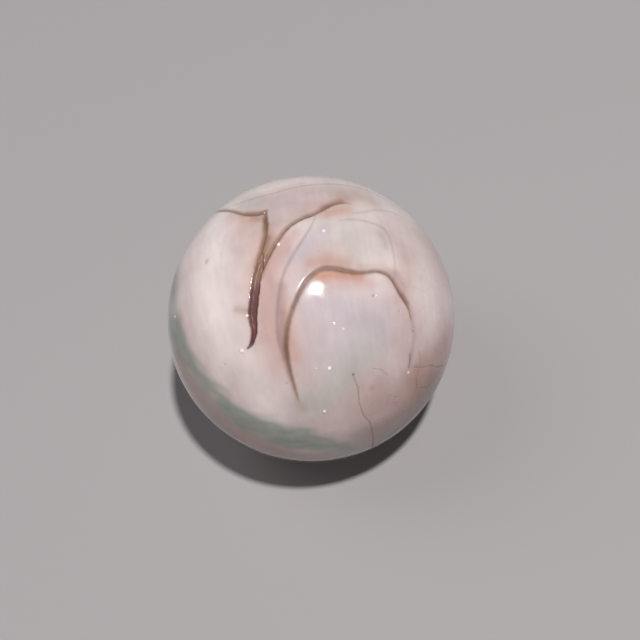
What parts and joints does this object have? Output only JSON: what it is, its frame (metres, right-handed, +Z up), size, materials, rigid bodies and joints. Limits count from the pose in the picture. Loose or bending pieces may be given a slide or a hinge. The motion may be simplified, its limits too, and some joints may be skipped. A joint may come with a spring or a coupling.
{
  "type": "glass playing marble",
  "caption": "Round opaque glass playing marble: folded white lobes with dark fold veins, tan tints and a seafoam green ribbon.",
  "frame": {"origin": "centre of the ball", "axes": "+Z up, away from the surface or cup that the marble rests on; the face with the folds leans from +Z towards -Y"},
  "size_m": [0.016, 0.016, 0.016],
  "materials": {
    "white_glass": "gloss",
    "blush_glass": "gloss",
    "seafoam_glass": "gloss",
    "tan_glass": "gloss",
    "oxblood_glass": "satin",
    "grey_glass": "gloss"
  },
  "bodies": {
    "root": {"white_core": "white_glass", "white_base": "white_glass", "left_lobe": "white_glass", "centre_lobe": "white_glass", "dome_lobe": "white_glass", "upper_lobe": "white_glass", "corner_lobe": "white_glass", "crown_lobe": "white_glass", "shoulder_lobe": "white_glass", "right_flank": "blush_glass", "seafoam_ribbon": "seafoam_glass", "tan_inclusion": "tan_glass", "tan_sliver": "tan_glass", "tan_wedge": "tan_glass", "fissure_vein": "oxblood_glass", "rim_vein": "oxblood_glass", "brow_vein": "oxblood_glass", "arch_vein": "oxblood_glass", "dome_vein": "oxblood_glass", "inner_flow_line": "grey_glass", "upper_flow_line": "grey_glass", "shoulder_flow_line": "grey_glass", "crown_flow_line": "grey_glass"}
  },
  "joints": []
}
